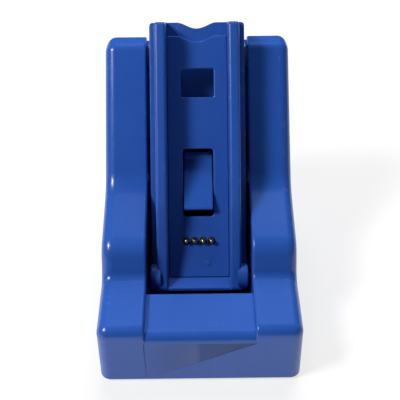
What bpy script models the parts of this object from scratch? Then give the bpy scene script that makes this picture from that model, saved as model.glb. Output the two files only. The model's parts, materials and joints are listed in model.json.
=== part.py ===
"""A small desk cradle: a moulded housing with two cheeks, and a tilted channel between them.

The housing stands on four pads. The channel rocks on two pins at its foot, and carries a contact
plate with a sprung catch and a row of sprung contacts. Lengths are in metres and +Z is up.
"""

import math

import bmesh
import bpy
from mathutils import Matrix, Vector

MM = 0.001

# Housing: driving sizes. Its own frame starts at the middle of the bottom front edge.
WIDTH = 58.0 * MM
DEPTH = 81.6 * MM
WALL = 2.2 * MM
DRAFT = math.radians(0.7)
EDGE_RADIUS = 3.2 * MM
CHEEK_DECK_Z = 20.2 * MM
DECK_END_Y = 20.8 * MM
SLOPE_TOP = (25.4 * MM, 28.5 * MM)
TOWER_FOOT = (46.9 * MM, 33.7 * MM)
TOWER_TOP = (75.0 * MM, 65.9 * MM)
CENTRE_DECK_Z = 18.1 * MM
CENTRE_EDGE_RADIUS = 2.8 * MM
SLOT_HALF = 15.5 * MM
SLOT_FRONT_Y = 16.6 * MM
SLOT_FLOOR_GAP = 7.2 * MM
SLOT_FLOOR_FOOT = 36.0 * MM
PAD_PROUD = 0.8 * MM
GAP = 0.3 * MM

# The tilted plane that the tower face and the channel's flange share.
LEAN = math.atan2(TOWER_TOP[1] - TOWER_FOOT[1], TOWER_TOP[0] - TOWER_FOOT[0])
PLANE_Y = TOWER_FOOT[0] - (TOWER_FOOT[1] - CENTRE_DECK_Z) / math.tan(LEAN)

# Channel, in its own frame: Z runs up the channel, +Y runs back, and the origin is the pivot axis.
PIVOT_UP = -6.8 * MM
PIVOT_OUT = 3.9 * MM
FLANGE_HALF = 14.55 * MM
FLANGE_FRONT = PIVOT_OUT
FLANGE_BACK = FLANGE_FRONT + 2.2 * MM
FLANGE_LOW = -4.6 * MM
FLANGE_HIGH = 77.2 * MM
RAIL_OUTER = 12.55 * MM
RAIL_INNER = 9.15 * MM
RAIL_FRONT = -6.6 * MM
RAIL_FOOT_FRONT = -1.8 * MM
RAIL_BEND_Z = 20.8 * MM
RAIL_TOP_FRONT_Z = 75.0 * MM
SILL_LOW = -4.3 * MM
SILL_HIGH = -0.65 * MM
SILL_FRONT = -1.6 * MM
EAR_RADIUS = 3.6 * MM
SCALLOP_HALF = 5.8 * MM
SCALLOP_DEPTH = 1.85 * MM

# Contact plate, in the channel's frame.
PLATE_HALF = 8.8 * MM
PLATE_FRONT = 1.9 * MM
PLATE_BACK = FLANGE_FRONT - GAP
PLATE_LOW = SILL_HIGH + GAP
PLATE_HIGH = 72.7 * MM
WINDOW_HALF = 5.0 * MM
WINDOW_Z = (54.0 * MM, 62.7 * MM)
CATCH_SLOT_HALF = 4.8 * MM
CATCH_SLOT_Z = (17.9 * MM, 38.9 * MM)
CONTACT_Z = 10.4 * MM
CONTACT_PITCH = 2.54 * MM
CONTACT_COUNT = 4

# Catch, in the channel's frame.
CATCH_AXIS = (7.4 * MM, 36.2 * MM)
CATCH_HALF = 4.3 * MM
CATCH_KNUCKLE = 1.7 * MM
CATCH_NOSE = (-1.1 * MM, 19.8 * MM)
CATCH_BACK_Y = 6.6 * MM
CATCH_PIN_RADIUS = 0.75 * MM

# Cover over the mechanism, in the channel's frame.
COVER_HALF = 10.0 * MM
COVER_Z = (3.0 * MM, 40.8 * MM)
COVER_BACK_Y = 15.6 * MM
COVER_WALL = 1.2 * MM

# Base, boards and screws, in the housing's frame.
BASE_THICK = 3.0 * MM
BASE_HALF = WIDTH / 2 - WALL - GAP
BOSS_RADIUS = 3.2 * MM
BOSS_PLACES = [(x * 20.5 * MM, y * MM) for y in (21.0, 60.0) for x in (-1, 1)]
PAD_PLACES = [(x * 21.5 * MM, y * MM) for y in (8.2, 73.4) for x in (-1, 1)]
PAD_RADIUS = 4.0 * MM
BOARD_Y = (45.5 * MM, 77.5 * MM)
BOARD_HALF = 14.2 * MM
BOARD_Z = (6.0 * MM, 7.6 * MM)
STANDOFF_PLACES = [(x * 11.0 * MM, 50.0 * MM) for x in (-1, 1)]
BOSS_HOLE_RADIUS = 1.4 * MM
BOSS_HOLE_TOP = 13.5 * MM
REAR_BOSS_TOP = 18.0 * MM
BASE_SCREW_Z = 0.2 * MM
BASE_SCREW_HEAD = 2.4 * MM
RECESS_HALF_LONG = 1.5 * MM
RECESS_HALF_WIDE = 0.3 * MM
RECESS_DEPTH = 0.8 * MM

# Rear inlet, in the housing's frame.
INLET_HALF = 3.9 * MM
INLET_FRONT_Y = 72.5 * MM
INLET_SETBACK = 3.0 * MM
INLET_HEIGHT = 3.0 * MM
INLET_WALL = 0.4 * MM
INLET_HOLE_HALF = 4.6 * MM
INLET_HOLE_Z = (BOARD_Z[1] - 0.2 * MM, BOARD_Z[1] + 4.0 * MM)

# The inner lead's middle line in the side view, from the contact board to the header.
LEAD_RADIUS = 0.75 * MM
LEAD_PATH = [
    (38.2 * MM, 9.9 * MM),
    (37.7 * MM, 8.8 * MM),
    (38.4 * MM, 7.6 * MM),
    (40.2 * MM, 6.6 * MM),
    (42.4 * MM, 6.9 * MM),
    (44.2 * MM, 8.2 * MM),
    (45.6 * MM, 9.4 * MM),
    (46.5 * MM, 9.9 * MM),
]

# Spring that returns the channel, and its cup behind the slot's floor.
RETURN_SPRING_UP = 42.0 * MM
RETURN_SPRING_RADIUS = 2.6 * MM
SEAT_DEPTH = 12.2 * MM
SEAT_RADIUS = 3.7 * MM
SEAT_WALL = 1.3 * MM

# Pins that the channel turns on.
PIVOT_RADIUS = 1.2 * MM
PIVOT_INNER_X = 11.2 * MM
PIVOT_OUTER_X = 18.2 * MM

# Contacts, in the channel's frame.
BARREL_RADIUS = 0.9 * MM
BARREL_BORE = 0.72 * MM
BARREL_FRONT = PLATE_FRONT + 0.5 * MM
BARREL_BACK = 12.2 * MM
CONTACT_RADIUS = 0.62 * MM
CONTACT_TIP = -0.2 * MM
CONTACT_TAIL = 5.5 * MM
BLOCK_HALF = (6.0 * MM, 2.2 * MM)
BLOCK_BACK = 11.6 * MM
CONTACT_BOARD_HALF = (8.2 * MM, 5.0 * MM)
COVER_SCREW_X = 8.2 * MM
COVER_SCREW_Z = 28.0 * MM
CATCH_SPRING_Z = 24.0 * MM

ACROSS = (1, 0, 0)
ALONG = (0, 1, 0)
UP = (0, 0, 1)
ARC_STEPS = 5
ROUND_STEPS = 24
SMALL_STEPS = 16
PIN_STEPS = 12
FAR = 95.0 * MM


def clear_scene():
    for old in list(bpy.data.objects):
        bpy.data.objects.remove(old, do_unlink=True)


def make_material(name, colour, roughness, metallic=0.0):
    material = bpy.data.materials.new(name)
    material.use_nodes = True
    shader = material.node_tree.nodes["Principled BSDF"]
    shader.inputs["Base Color"].default_value = (*colour, 1.0)
    shader.inputs["Roughness"].default_value = roughness
    shader.inputs["Metallic"].default_value = metallic
    material.diffuse_color = (*colour, 1.0)
    return material


def make_frame(name, parent, location, tilt=0.0):
    frame = bpy.data.objects.new(name, None)
    bpy.context.scene.collection.objects.link(frame)
    frame.parent = parent
    frame.location = location
    frame.rotation_euler = (tilt, 0.0, 0.0)
    return frame


def make_object(name, shape, material, parent, location=(0, 0, 0)):
    """Turns a bmesh into a named object under its parent frame."""
    bmesh.ops.remove_doubles(shape, verts=shape.verts, dist=1e-6)
    bmesh.ops.recalc_face_normals(shape, faces=shape.faces)
    mesh = bpy.data.meshes.new(name)
    shape.to_mesh(mesh)
    shape.free()
    mesh.shade_smooth()
    mesh.set_sharp_from_angle(angle=math.radians(35))
    piece = bpy.data.objects.new(name, mesh)
    bpy.context.scene.collection.objects.link(piece)
    piece.parent = parent
    piece.location = location
    if material:
        mesh.materials.append(material)
    return piece


def arc_points(centre, radius, start, end, steps):
    """Points on an arc in a plane, angles in degrees, both ends included."""
    points = []
    for step in range(steps + 1):
        angle = math.radians(start + (end - start) * step / steps)
        points.append((centre[0] + radius * math.cos(angle), centre[1] + radius * math.sin(angle)))
    return points


def fillet_outline(corners):
    """Rounds a closed outline given as (y, z, radius) corners."""
    outline = []
    count = len(corners)
    for index, (y, z, radius) in enumerate(corners):
        corner = Vector((y, z))
        if radius <= 0:
            outline.append((y, z))
            continue
        before = Vector(corners[index - 1][:2]) - corner
        after = Vector(corners[(index + 1) % count][:2]) - corner
        half_angle = before.angle(after) / 2
        reach = radius / math.tan(half_angle)
        start = corner + before.normalized() * reach
        end = corner + after.normalized() * reach
        middle = (before.normalized() + after.normalized()).normalized()
        centre = corner + middle * radius / math.sin(half_angle)
        first = math.atan2(start[1] - centre[1], start[0] - centre[0])
        last = math.atan2(end[1] - centre[1], end[0] - centre[0])
        turn = (last - first + math.pi) % (2 * math.pi) - math.pi
        outline += arc_points(centre, radius, math.degrees(first), math.degrees(first + turn), ARC_STEPS)
    return outline


def inset_corners(corners, insets):
    """Moves each side of a clockwise outline inwards by its own inset. Side i leaves corner i."""
    count = len(corners)
    moved = []
    for index, (y, z, radius) in enumerate(corners):
        corner = Vector((y, z))
        before = (corner - Vector(corners[index - 1][:2])).normalized()
        after = (Vector(corners[(index + 1) % count][:2]) - corner).normalized()
        normal_before = Vector((before[1], -before[0]))
        normal_after = Vector((after[1], -after[0]))
        rows = Matrix((normal_before, normal_after))
        shift = rows.inverted() @ Vector((insets[index - 1], insets[index]))
        convex = before[0] * after[1] - before[1] * after[0] < 0
        new_radius = radius - insets[index] if convex else radius + insets[index]
        moved.append((y + shift[0], z + shift[1], max(new_radius, 0.0) if radius > 0 else 0.0))
    return moved


def draft_x(x, z):
    """Leans the outer sides in as they rise, and leaves the inner walls upright."""
    if abs(x) < WIDTH / 4:
        return x
    return x - math.copysign(z * math.tan(DRAFT), x)


def loft(sections):
    """A closed body through loops of one point count, given as (x, outline)."""
    shape = bmesh.new()
    loops = []
    for x, outline in sections:
        loops.append([shape.verts.new((draft_x(x, z), y, z)) for y, z in outline])
    count = len(loops[0])
    for lower, upper in zip(loops, loops[1:]):
        for index in range(count):
            following = (index + 1) % count
            shape.faces.new((lower[index], lower[following], upper[following], upper[index]))
    shape.faces.new(loops[0])
    shape.faces.new(loops[-1][::-1])
    return shape


def prism(outline, low_x, high_x):
    """Extrudes a side outline of (y, z) points across the width."""
    shape = bmesh.new()
    low = [shape.verts.new((low_x, y, z)) for y, z in outline]
    high = [shape.verts.new((high_x, y, z)) for y, z in outline]
    for index in range(len(outline)):
        following = (index + 1) % len(outline)
        shape.faces.new((low[index], low[following], high[following], high[index]))
    shape.faces.new(low)
    shape.faces.new(high[::-1])
    return shape


def plate(outline, low_y, high_y):
    """Extrudes a front outline of (x, z) points from front to back."""
    shape = prism(outline, low_y, high_y)
    for vert in shape.verts:
        low, x, z = vert.co
        vert.co = (x, low, z)
    return shape


def slab(outline, low_z, high_z):
    """Extrudes a plan outline of (x, y) points upwards."""
    shape = prism(outline, low_z, high_z)
    for vert in shape.verts:
        low, x, y = vert.co
        vert.co = (x, y, low)
    return shape


def box(low, high):
    corners = [(low[1], low[2]), (high[1], low[2]), (high[1], high[2]), (low[1], high[2])]
    return prism(corners, low[0], high[0])


def rounded_box(half_x, low_y, high_y, low_z, high_z, radius):
    corners = [(-half_x, low_y), (half_x, low_y), (half_x, high_y), (-half_x, high_y)]
    return slab(fillet_outline([(x, y, radius) for x, y in corners]), low_z, high_z)


def turned(profile, axis, steps=ROUND_STEPS):
    """Turns a closed profile of (radius, length) points round an axis through the origin."""
    shape = bmesh.new()
    rings = []
    for radius, along in profile:
        if radius <= 0:
            rings.append([shape.verts.new((0.0, 0.0, along))])
            continue
        ring = arc_points((0.0, 0.0), radius, 0, 360, steps)[:-1]
        rings.append([shape.verts.new((x, y, along)) for x, y in ring])
    closed = profile[0][0] > 0
    pairs = list(zip(rings, rings[1:]))
    if closed:
        pairs.append((rings[-1], rings[0]))
    for lower, upper in pairs:
        for index in range(steps):
            following = (index + 1) % steps
            if len(lower) == 1:
                shape.faces.new((lower[0], upper[index], upper[following]))
            elif len(upper) == 1:
                shape.faces.new((lower[index], lower[following], upper[0]))
            else:
                shape.faces.new((lower[index], lower[following], upper[following], upper[index]))
    turn = Vector((0, 0, 1)).rotation_difference(Vector(axis)).to_matrix().to_4x4()
    shape.transform(turn)
    return shape


def cylinder(radius, start, end, axis, steps=ROUND_STEPS):
    return turned([(0, start), (radius, start), (radius, end), (0, end)], axis, steps)


def placed(shape, location):
    shape.transform(Matrix.Translation(location))
    return shape


def combine(piece, shape, operation):
    """Cuts a shape from a piece, or joins it on, and keeps the result in the piece's mesh."""
    tool = make_object(piece.name + "_tool", shape, None, piece.parent)
    modifier = piece.modifiers.new("combine", "BOOLEAN")
    modifier.operation = operation
    modifier.object = tool
    bpy.context.view_layer.update()
    graph = bpy.context.evaluated_depsgraph_get()
    result = bpy.data.meshes.new_from_object(piece.evaluated_get(graph))
    piece.modifiers.remove(modifier)
    piece.data = result
    bpy.data.objects.remove(tool, do_unlink=True)


def cut(piece, shape):
    combine(piece, shape, "DIFFERENCE")


def join(piece, shape):
    combine(piece, shape, "UNION")


def hole(piece, radius, low, high, axis, place, steps=SMALL_STEPS):
    cut(piece, placed(cylinder(radius, low, high, axis, steps), place))


def spring(radius, wire, length, turns, axis, round_steps, wire_steps):
    """A coil spring whose wire follows a helix that starts at the origin."""
    shape = bmesh.new()
    total = int(turns * round_steps)
    turn = Vector((0, 0, 1)).rotation_difference(Vector(axis)).to_matrix()
    rise = (length - 2 * wire) / total
    slope = math.atan2(rise * round_steps, 2 * math.pi * radius)
    loops = []
    for step in range(total + 1):
        angle = 2 * math.pi * step / round_steps
        outward = Vector((math.cos(angle), math.sin(angle), 0))
        along = Vector((-math.sin(angle), math.cos(angle), 0))
        across = Vector((0, 0, 1)) * math.cos(slope) - along * math.sin(slope)
        centre = outward * radius + Vector((0, 0, wire + rise * step))
        loop = []
        for out, up in arc_points((0.0, 0.0), wire, 0, 360, wire_steps)[:-1]:
            loop.append(shape.verts.new(turn @ (centre + outward * out + across * up)))
        loops.append(loop)
    for lower, upper in zip(loops, loops[1:]):
        for index in range(wire_steps):
            following = (index + 1) % wire_steps
            shape.faces.new((lower[index], lower[following], upper[following], upper[index]))
    shape.faces.new(loops[0])
    shape.faces.new(loops[-1])
    return shape


def plane_point(up, out):
    """A point in the housing's side view, measured up and out from the foot of the tilted plane."""
    y = PLANE_Y + up * math.cos(LEAN) - out * math.sin(LEAN)
    z = CENTRE_DECK_Z + up * math.sin(LEAN) + out * math.cos(LEAN)
    return y, z


def rear_y(z):
    return DEPTH - z * math.tan(DRAFT)


def housing_corners():
    """The cheeks' side outline, clockwise from the bottom front corner."""
    top_z = TOWER_TOP[1]
    edge = EDGE_RADIUS + 0.1 * MM
    return [
        (0.0, 0.0, 0.0),
        (CHEEK_DECK_Z * math.tan(DRAFT), CHEEK_DECK_Z, edge),
        (DECK_END_Y, CHEEK_DECK_Z, 3.0 * MM),
        (*SLOPE_TOP, 8.0 * MM),
        (*TOWER_FOOT, 12.0 * MM),
        (*TOWER_TOP, edge),
        (rear_y(top_z), top_z, 0.0),
        (DEPTH, 0.0, 0.0),
    ]


def inset_outline(inset, corners=None):
    """The side outline moved in by one inset on every side but the bottom."""
    corners = corners or housing_corners()
    insets = [inset] * (len(corners) - 1) + [0.0]
    return fillet_outline(inset_corners(corners, insets))


def housing_body():
    """The outside of the housing, rounded along both of its side outlines."""
    half = WIDTH / 2
    right = []
    for step in range(ARC_STEPS + 1):
        angle = math.radians(90 * step / ARC_STEPS)
        x = half - EDGE_RADIUS + EDGE_RADIUS * math.cos(angle)
        right.append((x, inset_outline(EDGE_RADIUS * (1 - math.sin(angle)))))
    left = [(-x, outline) for x, outline in right]
    return loft(left + right[::-1])


def slot_outline():
    """Side outline of all that is removed between the cheeks, with the slot's floor left standing."""
    clear = 2 * MM
    under = SLOT_FLOOR_GAP + 2.0 * MM
    front = CENTRE_DECK_Z - CENTRE_EDGE_RADIUS
    centre = (front * math.tan(DRAFT) + CENTRE_EDGE_RADIUS, front)
    floor_end_z = 55 * MM
    up_to_rear = (rear_y(floor_end_z) - WALL - plane_point(0, -under)[0]) / math.cos(LEAN)
    floor_top = plane_point(FAR, -SLOT_FLOOR_GAP)
    outline = [(-clear, FAR), (-clear, front)]
    outline += arc_points(centre, CENTRE_EDGE_RADIUS, 180, 90, ARC_STEPS)
    outline += [
        (SLOT_FRONT_Y, CENTRE_DECK_Z),
        (SLOT_FRONT_Y, -clear),
        (rear_y(0) - WALL, -clear),
        plane_point(up_to_rear, -under),
        plane_point(SLOT_FLOOR_FOOT, -under),
        plane_point(SLOT_FLOOR_FOOT, -SLOT_FLOOR_GAP),
        floor_top,
        (floor_top[0], FAR),
    ]
    return outline


def hollow_out(shell):
    """Empties both cheeks, the room under the centre deck and the seat of the base plate."""
    inner = inset_outline(WALL)
    partition = SLOT_HALF + WALL
    inner_half = WIDTH / 2 - WALL
    for side in (-1, 1):
        cut(shell, loft([(side * partition, inner), (side * inner_half, inner)]))
    front_low = (-partition - MM, WALL + GAP, -MM)
    front_high = (partition + MM, SLOT_FRONT_Y - WALL, CENTRE_DECK_Z - WALL)
    cut(shell, box(front_low, front_high))


def housing_shell(material, frame):
    """The one-piece moulded cover: cheeks, centre deck, slot, partitions and screw bosses."""
    shell = make_object("housing_shell", housing_body(), material, frame)
    cut(shell, prism(slot_outline(), -SLOT_HALF, SLOT_HALF))
    hollow_out(shell)
    for x, y in BOSS_PLACES:
        high = CHEEK_DECK_Z - MM if y < DEPTH / 2 else REAR_BOSS_TOP
        join(shell, placed(cylinder(BOSS_RADIUS, BASE_THICK, high, UP), (x, y, 0)))
    base_front = WALL + 0.2 * MM
    base_rear = DEPTH - WALL - 0.1 * MM
    cut(shell, rounded_box(BASE_HALF + GAP, base_front, base_rear, -MM, BASE_THICK + GAP, 1.5 * MM))
    for x, y in BOSS_PLACES:
        hole(shell, BOSS_HOLE_RADIUS, -MM, BOSS_HOLE_TOP, UP, (x, y, 0))
    pivot = (0, *plane_point(PIVOT_UP, PIVOT_OUT))
    reach = SLOT_HALF + WALL + MM
    hole(shell, PIVOT_RADIUS + GAP, -reach, reach, ACROSS, pivot, ROUND_STEPS)
    inlet_low, inlet_high = INLET_HOLE_Z
    cut(shell, box((-INLET_HOLE_HALF, DEPTH - 6 * MM, inlet_low), (INLET_HOLE_HALF, DEPTH + MM, inlet_high)))
    return_spring_seat(shell)


def return_spring_seat(shell):
    """A blind cup behind the slot's floor that holds the return spring."""
    place = (0, *plane_point(RETURN_SPRING_UP, 0))
    inward = (0, math.sin(LEAN), -math.cos(LEAN))
    start = SLOT_FLOOR_GAP + 0.5 * MM
    outside = cylinder(SEAT_RADIUS + SEAT_WALL, start, SEAT_DEPTH + 1.4 * MM, inward)
    join(shell, placed(outside, place))
    hole(shell, SEAT_RADIUS, SLOT_FLOOR_GAP - MM, SEAT_DEPTH, inward, place, ROUND_STEPS)


def return_spring(material, frame):
    outward = (0, -math.sin(LEAN), math.cos(LEAN))
    length = SEAT_DEPTH - (FLANGE_BACK - FLANGE_FRONT) - 2 * GAP
    shape = spring(RETURN_SPRING_RADIUS, 0.35 * MM, length, 6, outward, 14, 5)
    place = (0, *plane_point(RETURN_SPRING_UP, GAP - SEAT_DEPTH))
    make_object("return_spring", shape, material, frame, place)


def base_plate(material, frame):
    """The bottom cover, with recesses for the pads, counterbored screw holes and board standoffs."""
    front = WALL + 0.5 * MM
    rear = DEPTH - WALL - 0.4 * MM
    shape = rounded_box(BASE_HALF, front, rear, 0, BASE_THICK, 1.4 * MM)
    base = make_object("base_plate", shape, material, frame)
    for x, y in STANDOFF_PLACES:
        join(base, placed(cylinder(2.6 * MM, BASE_THICK / 2, BOARD_Z[0] - GAP, UP), (x, y, 0)))
        hole(base, 1.1 * MM, MM, 8 * MM, UP, (x, y, 0))
    for x, y in BOSS_PLACES:
        hole(base, BOSS_HOLE_RADIUS + 0.2 * MM, -MM, 5 * MM, UP, (x, y, 0))
        hole(base, BASE_SCREW_HEAD + 0.4 * MM, -MM, 1.9 * MM, UP, (x, y, 0), ROUND_STEPS)
    for x, y in PAD_PLACES:
        hole(base, PAD_RADIUS + GAP, -MM, 1.1 * MM, UP, (x, y, 0), ROUND_STEPS)


def foot_pads(material, frame):
    names = ("front_left", "front_right", "rear_left", "rear_right")
    bevel = 0.35 * MM
    top = 0.8 * MM
    for name, (x, y) in zip(names, PAD_PLACES):
        profile = [
            (0, -PAD_PROUD),
            (PAD_RADIUS - bevel, -PAD_PROUD),
            (PAD_RADIUS, bevel - PAD_PROUD),
            (PAD_RADIUS, top),
            (0, top),
        ]
        make_object("foot_pad_" + name, turned(profile, UP), material, frame, (x, y, 0))


def screw_shape(head_radius, head_height, shank_radius, length, axis):
    """A pan-head screw whose head starts at the origin and whose shank runs along the axis."""
    profile = [
        (0, 0),
        (head_radius * 0.75, 0),
        (head_radius, head_height * 0.45),
        (head_radius, head_height),
        (shank_radius, head_height),
        (shank_radius, length - shank_radius),
        (0.2 * MM, length),
        (0, length),
    ]
    return turned(profile, axis, SMALL_STEPS)


def base_screws(material, frame):
    """Four screws up into the shell's bosses, each with a cross recess."""
    names = ("front_left", "front_right", "rear_left", "rear_right")
    arms = ((RECESS_HALF_LONG, RECESS_HALF_WIDE), (RECESS_HALF_WIDE, RECESS_HALF_LONG))
    for name, (x, y) in zip(names, BOSS_PLACES):
        place = (x, y, BASE_SCREW_Z)
        shape = screw_shape(BASE_SCREW_HEAD, 1.4 * MM, 1.1 * MM, 12.5 * MM, UP)
        screw = make_object("base_screw_" + name, shape, material, frame, place)
        for half_x, half_y in arms:
            cut(screw, placed(box((-half_x, -half_y, -MM), (half_x, half_y, RECESS_DEPTH)), place))


def power_board(materials, frame):
    """The board on the base, with its two screws, controller and lead header."""
    board_low, board_high = BOARD_Z
    shape = rounded_box(BOARD_HALF, *BOARD_Y, board_low, board_high, MM)
    board = make_object("power_board", shape, materials["board"], frame)
    seat = board_high + GAP
    head_height = 1.2 * MM
    for side, (x, y) in zip(("left", "right"), STANDOFF_PLACES):
        hole(board, 1.3 * MM, 0, 10 * MM, UP, (x, y, 0))
        screw = screw_shape(2.1 * MM, head_height, 0.8 * MM, 6.2 * MM, (0, 0, -1))
        make_object("board_screw_" + side, screw, materials["steel"], frame, (x, y, seat + head_height))
    chip = rounded_box(3.5 * MM, 58 * MM, 65 * MM, seat, seat + 1.4 * MM, 0.4 * MM)
    make_object("charge_controller", chip, materials["black"], frame)
    shape = box((-4.2 * MM, 47 * MM, seat), (4.2 * MM, 51.5 * MM, seat + 3.4 * MM))
    header = make_object("lead_header", shape, materials["white"], frame)
    cut(header, box((-3.4 * MM, 46 * MM, seat + 0.8 * MM), (3.4 * MM, 50.5 * MM, seat + 2.6 * MM)))
    rear_inlet(materials, frame, seat)


def rear_inlet(materials, frame, seat):
    """The power inlet at the board's rear edge: a steel shell open to the rear, and its tongue."""
    rear = DEPTH - INLET_SETBACK
    top = seat + INLET_HEIGHT
    shape = box((-INLET_HALF, INLET_FRONT_Y, seat), (INLET_HALF, rear, top))
    inlet = make_object("inlet_shell", shape, materials["steel"], frame)
    bore_half = INLET_HALF - INLET_WALL
    bore_low = (-bore_half, INLET_FRONT_Y + 0.5 * MM, seat + INLET_WALL)
    cut(inlet, box(bore_low, (bore_half, DEPTH + MM, top - INLET_WALL)))
    tongue_half = 2.2 * MM
    tongue_low = (-tongue_half, INLET_FRONT_Y + 0.8 * MM, seat + 1.15 * MM)
    tongue_high = (tongue_half, rear - 0.6 * MM, seat + 1.85 * MM)
    make_object("inlet_tongue", box(tongue_low, tongue_high), materials["black"], frame)


def scallop_top(half, high, scallop_half, depth):
    """The upper edge of a plate from right to left, dished in the middle for a fingertip."""
    edge = []
    steps = 12
    for step in range(steps + 1):
        share = 1 - 2 * step / steps
        drop = depth * (0.5 + 0.5 * math.cos(math.pi * share)) ** 0.8
        edge.append((share * scallop_half, high - drop))
    return [(half, high)] + edge + [(-half, high)]


def rail_outline():
    """Side outline of a rail, from its foot round its front edge to its top."""
    corners = [
        (FLANGE_BACK - MM, SILL_LOW, 0.0),
        (RAIL_FOOT_FRONT, SILL_LOW, 1.5 * MM),
        (RAIL_FRONT, RAIL_BEND_Z, 14.0 * MM),
        (RAIL_FRONT, RAIL_TOP_FRONT_Z, 1.2 * MM),
        (FLANGE_FRONT, FLANGE_HIGH, 0.0),
        (FLANGE_BACK - MM, FLANGE_HIGH, 0.0),
    ]
    return fillet_outline(corners)


def flange_outline():
    """Front outline of the flange: square at the foot, rounded and dished at the top."""
    corner = 1.0 * MM
    outline = [(-FLANGE_HALF, FLANGE_LOW), (FLANGE_HALF, FLANGE_LOW)]
    outline += arc_points((FLANGE_HALF - corner, FLANGE_HIGH - corner), corner, 0, 90, ARC_STEPS)
    outline += scallop_top(FLANGE_HALF, FLANGE_HIGH, SCALLOP_HALF, SCALLOP_DEPTH)[1:-1]
    outline += arc_points((corner - FLANGE_HALF, FLANGE_HIGH - corner), corner, 90, 180, ARC_STEPS)
    return outline


def sill_outline():
    """Side outline of the sill across the channel's foot, with its sloping upper front."""
    back = FLANGE_BACK - MM
    return fillet_outline([
        (back, SILL_LOW, 0.0),
        (SILL_FRONT + 0.6 * MM, SILL_LOW, 0.0),
        (SILL_FRONT, SILL_LOW + 0.8 * MM, 0.4 * MM),
        (PLATE_FRONT, SILL_HIGH, 0.0),
        (back, SILL_HIGH, 0.0),
    ])


def lug_outline():
    """Side outline of the two lugs that hold the catch pin."""
    back = FLANGE_BACK - MM
    tip = 9.8 * MM
    low, high = 33.6 * MM, 38.8 * MM
    return fillet_outline([(back, low, 0.0), (tip, low, 1.2 * MM), (tip, high, 1.2 * MM), (back, high, 0.0)])


def channel(material, frame):
    """The rocking channel: flange, two rails, ears for the pivot pins, sill and catch lugs."""
    body = make_object("cradle_channel", plate(flange_outline(), FLANGE_FRONT, FLANGE_BACK), material, frame)
    for side in (-1, 1):
        low, high = sorted((side * RAIL_INNER, side * RAIL_OUTER))
        join(body, prism(rail_outline(), low, high))
        low, high = sorted((side * (RAIL_OUTER - MM), side * FLANGE_HALF))
        join(body, cylinder(EAR_RADIUS, low, high, ACROSS))
        low, high = sorted((side * (CATCH_SLOT_HALF + 0.2 * MM), side * 7.4 * MM))
        join(body, prism(lug_outline(), low, high))
    join(body, prism(sill_outline(), -RAIL_INNER - MM, RAIL_INNER + MM))
    cut_channel_openings(body)
    hole(body, CATCH_PIN_RADIUS + GAP, -9 * MM, 9 * MM, ACROSS, (0, *CATCH_AXIS))
    for side in (-1, 1):
        low, high = sorted((side * (PIVOT_INNER_X - 0.4 * MM), side * 16 * MM))
        hole(body, PIVOT_RADIUS + GAP, low, high, ACROSS, (0, 0, 0), ROUND_STEPS)
        hole(body, 0.9 * MM, 0, 9 * MM, ALONG, (side * COVER_SCREW_X, 0, COVER_SCREW_Z))


def cut_channel_openings(body):
    """The window, the catch slot and the contact block's hole through the flange."""
    spread = 0.6 * MM
    deep = 9 * MM
    half = WINDOW_HALF + spread
    cut(body, box((-half, 0, WINDOW_Z[0] - spread), (half, deep, WINDOW_Z[1] + spread)))
    slot_high = (CATCH_SLOT_HALF, 7 * MM, CATCH_SLOT_Z[1] + 0.4 * MM)
    cut(body, box((-CATCH_SLOT_HALF, 0, CATCH_SLOT_Z[0]), slot_high))
    half_x, half_z = (half + 0.4 * MM for half in BLOCK_HALF)
    cut(body, box((-half_x, 0, CONTACT_Z - half_z), (half_x, deep, CONTACT_Z + half_z)))


def contact_plate(material, frame):
    """The liner between the rails, with its window, catch slot and contact holes."""
    outline = [(-PLATE_HALF, PLATE_LOW), (PLATE_HALF, PLATE_LOW)]
    outline += scallop_top(PLATE_HALF, PLATE_HIGH, SCALLOP_HALF, SCALLOP_DEPTH)
    liner = make_object("contact_plate", plate(outline, PLATE_FRONT, PLATE_BACK), material, frame)
    deep = 6 * MM
    cut(liner, box((-WINDOW_HALF, 0, WINDOW_Z[0]), (WINDOW_HALF, deep, WINDOW_Z[1])))
    low, high = CATCH_SLOT_Z
    half = CATCH_SLOT_HALF
    corner = 1.2 * MM
    slot = [(-half, low, corner), (half, low, corner), (half, high, corner), (-half, high, corner)]
    cut(liner, plate(fillet_outline(slot), 0, deep))
    for x in contact_places():
        hole(liner, BARREL_RADIUS + GAP, 0, deep, ALONG, (x, 0, CONTACT_Z))


def contact_places():
    first = -CONTACT_PITCH * (CONTACT_COUNT - 1) / 2
    return [first + CONTACT_PITCH * index for index in range(CONTACT_COUNT)]


def barrel_shape():
    """A tube with a closed back end."""
    bore_back = BARREL_BACK - 0.8 * MM
    profile = [
        (0, BARREL_BACK),
        (BARREL_RADIUS, BARREL_BACK),
        (BARREL_RADIUS, BARREL_FRONT),
        (BARREL_BORE, BARREL_FRONT),
        (BARREL_BORE, bore_back),
        (0, bore_back),
    ]
    return turned(profile, ALONG, PIN_STEPS)


def contact_pin_shape():
    """A plunger with a domed tip."""
    centre = CONTACT_TIP + CONTACT_RADIUS
    quarter = arc_points((0, 0), CONTACT_RADIUS, 180, 90, 4)
    profile = [(out, centre + along) for along, out in quarter]
    profile += [(CONTACT_RADIUS, CONTACT_TAIL), (0, CONTACT_TAIL)]
    return turned(profile, ALONG, PIN_STEPS)


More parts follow.
